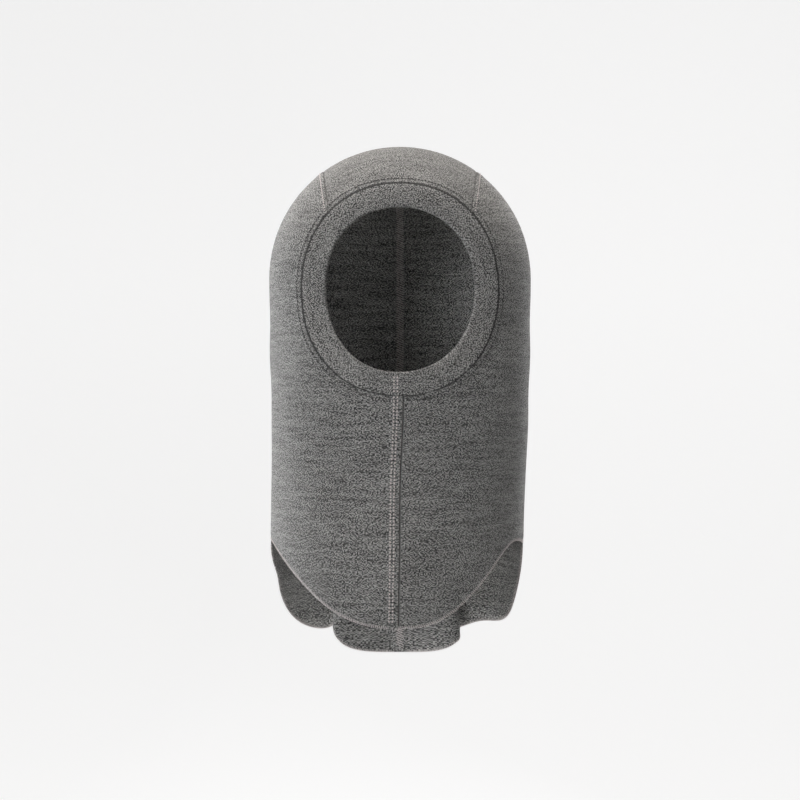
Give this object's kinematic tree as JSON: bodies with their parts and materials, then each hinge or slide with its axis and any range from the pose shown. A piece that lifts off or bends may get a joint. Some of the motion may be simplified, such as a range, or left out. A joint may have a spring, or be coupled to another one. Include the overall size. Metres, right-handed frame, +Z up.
{
  "type": "balaclava",
  "caption": "Child's knitted balaclava: a hood with an oval face opening, a doubled band and a rounded bib in front and behind.",
  "frame": {"origin": "where the top of the wearer's head meets the inside of the crown", "axes": "+Z up the wearer's head, the face looks towards -Y, the wearer's left is +X"},
  "size_m": [0.189, 0.1626, 0.3748],
  "materials": {
    "knit": "fine melange wool knit, matt with a soft nap",
    "band_knit": "the same knit folded double, smooth",
    "thread": "spun sewing thread, slightly warm grey",
    "dark_thread": "spun sewing thread sunk into the knit, dark grey"
  },
  "bodies": {
    "root": {"left_side_panel": "knit", "right_side_panel": "knit", "crown_panel": "knit", "face_band": "band_knit", "face_band_join_thread": "thread", "face_band_topstitch": "dark_thread", "face_band_overlock": "thread", "front_seam_topstitch": "thread", "front_seam_overlock": "thread", "back_seam_topstitch": "thread", "back_seam_overlock": "thread", "left_crown_topstitch": "thread", "right_crown_topstitch": "thread", "left_crown_overlock": "thread", "right_crown_overlock": "thread", "front_hem_overlock": "thread", "back_hem_overlock": "thread"}
  },
  "joints": []
}
